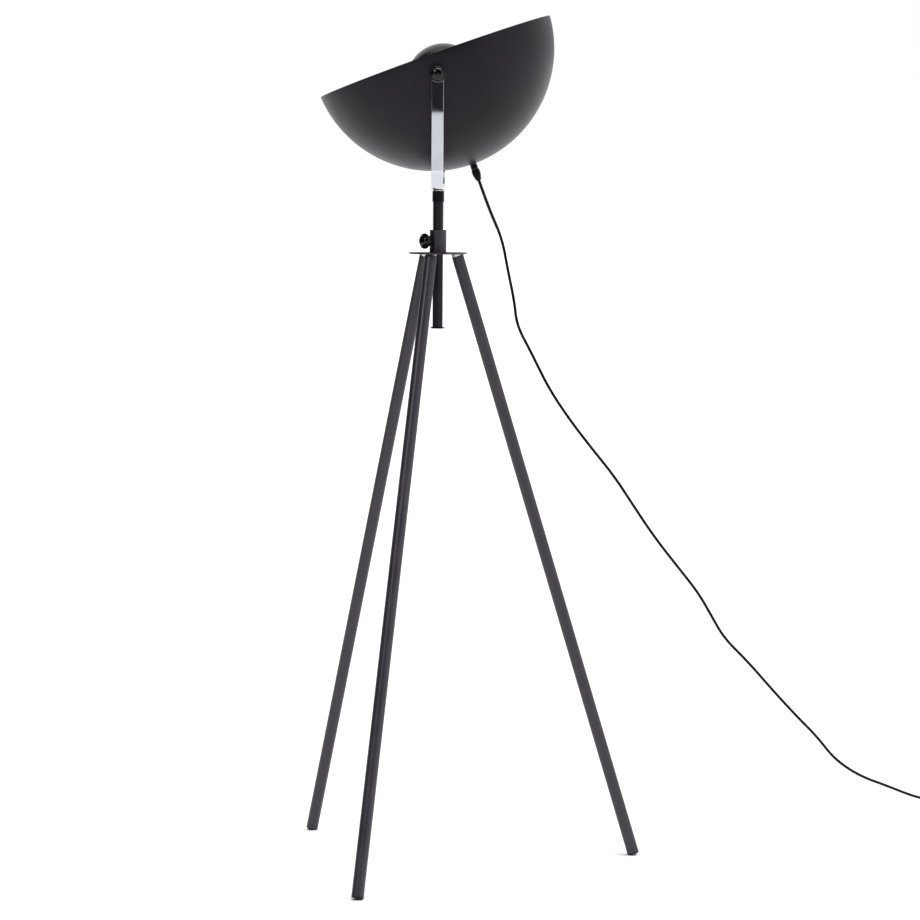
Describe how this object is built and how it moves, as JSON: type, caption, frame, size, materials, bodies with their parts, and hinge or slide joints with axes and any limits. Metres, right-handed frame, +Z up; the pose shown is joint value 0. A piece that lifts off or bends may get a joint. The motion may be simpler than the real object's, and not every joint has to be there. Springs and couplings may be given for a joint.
{
  "type": "tripod floor lamp",
  "caption": "Floor lamp: dome shade tilting in a chrome bail on a height-adjustable stem, carried by a splayed tube tripod with a trailing flex.",
  "frame": {"origin": "on the floor, on the stem's axis", "axes": "+Z up along the stem; the shade's tilt axis runs along Y; the mouth of the shade leans towards -X; the flex runs off towards +X and +Y"},
  "size_m": [1.337, 0.9852, 1.5476],
  "materials": {
    "black_powder_coat": "satin black powder coat",
    "shade_paint": "matt black paint outside, pale inside",
    "white_paint": "white paint",
    "chrome": "polished chrome plate",
    "zinc": "bright zinc plate",
    "knob_plastic": "glossy black moulding",
    "black_plastic": "black moulding, fine texture",
    "nylon": "black nylon",
    "brass": "drawn brass",
    "nickel": "nickel plate",
    "bulb": "frosted glass",
    "foot_rubber": "moulded rubber",
    "flex": "black sheath"
  },
  "bodies": {
    "tripod": {"hub_plate": "black_powder_coat", "hub_collar": "black_powder_coat", "leg_wedges": "zinc", "leg_inserts": "zinc", "leg_stub_1": "black_powder_coat", "leg_upper_1": "black_powder_coat", "leg_middle_1": "black_powder_coat", "leg_lower_1": "black_powder_coat", "leg_stub_2": "black_powder_coat", "leg_upper_2": "black_powder_coat", "leg_middle_2": "black_powder_coat", "leg_lower_2": "black_powder_coat", "leg_stub_3": "black_powder_coat", "leg_upper_3": "black_powder_coat", "leg_middle_3": "black_powder_coat", "leg_lower_3": "black_powder_coat", "leg_joiners": "zinc", "foot_caps": "foot_rubber", "flex_tube": "flex", "flex_lead": "flex", "flex_coil": "flex", "flex_tail": "flex", "switch_base": "black_plastic", "switch_cover": "black_plastic", "switch_module": "nylon", "plug_body": "black_plastic", "plug_pins": "nickel"},
    "clamp_tip": {"clamp_pad": "nylon"},
    "clamp_knob": {"clamp_knob": "knob_plastic", "clamp_screw": "zinc"},
    "stem": {"stem_tube": "black_powder_coat", "stem_end_cap": "black_plastic", "swivel_bush": "black_plastic", "wave_washer": "zinc", "friction_washer": "nylon", "swivel_bolt": "chrome"},
    "yoke": {"bail": "chrome"},
    "shade": {"shade_dome": "shade_paint", "pivot_bosses": "zinc", "pivot_washers": "nylon", "nipple": "zinc", "gland_body": "black_plastic", "gland_cap": "black_plastic", "cap_carrier": "white_paint", "cap_rods": "white_paint", "inner_cap": "shade_paint", "holder_cap": "black_plastic", "holder_skirt": "black_plastic", "holder_insulator": "nylon", "holder_screw_shell": "brass", "holder_contact": "brass", "bulb_base": "nickel", "bulb_glass": "bulb"},
    "front_washer": {"knob_washer_front": "nylon"},
    "front_knob": {"tilt_knob_front": "knob_plastic", "tilt_screw_front": "zinc"},
    "back_washer": {"knob_washer_back": "nylon"},
    "back_knob": {"tilt_knob_back": "knob_plastic", "tilt_screw_back": "zinc"},
    "switch_button": {"switch_button": "black_plastic"}
  },
  "joints": [
    {"name": "stem_height", "type": "slide", "parent": "tripod", "child": "stem", "axis": [0, 0, 1], "range_m": [-0.048, 0.125]},
    {"name": "clamp_travel", "type": "slide", "parent": "tripod", "child": "clamp_tip", "axis": [-0.8141, -0.5807, 0], "range_m": [0, 0.003]},
    {"name": "clamp_turn", "type": "hinge", "parent": "clamp_tip", "child": "clamp_knob", "pos_m": [0, 0, 1.14005], "axis": [-0.8141, -0.5807, 0], "range_deg": [0, 1083]},
    {"name": "head_swivel", "type": "hinge", "parent": "stem", "child": "yoke", "pos_m": [0, 0, 1.23475], "axis": [0, 0, 1], "range_deg": [-90, 90]},
    {"name": "shade_tilt", "type": "hinge", "parent": "yoke", "child": "shade", "pos_m": [0, 0, 1.43575], "axis": [0, -1, 0], "range_deg": [-13, 39.5], "deforming": ["flex_tube"]},
    {"name": "front_knob_travel", "type": "slide", "parent": "shade", "child": "front_washer", "axis": [0, -1, 0], "range_m": [0, 0.003]},
    {"name": "front_knob_turn", "type": "hinge", "parent": "front_washer", "child": "front_knob", "pos_m": [0, 0, 1.43575], "axis": [0, -1, 0], "range_deg": [0, 1083]},
    {"name": "back_knob_travel", "type": "slide", "parent": "shade", "child": "back_washer", "axis": [0, 1, 0], "range_m": [0, 0.003]},
    {"name": "back_knob_turn", "type": "hinge", "parent": "back_washer", "child": "back_knob", "pos_m": [0, 0, 1.43575], "axis": [0, 1, 0], "range_deg": [0, 1083]},
    {"name": "switch_press", "type": "slide", "parent": "tripod", "child": "switch_button", "axis": [0, 0, -1], "range_m": [0, 0.003], "stiffness_N_per_m": 900, "springref_m": -0.001}
  ],
  "couplings": [
    {"joint": "clamp_turn", "follows": "clamp_travel", "rad_per_m": 6283.2},
    {"joint": "front_knob_turn", "follows": "front_knob_travel", "rad_per_m": 6283.2},
    {"joint": "back_knob_turn", "follows": "back_knob_travel", "rad_per_m": 6283.2}
  ]
}
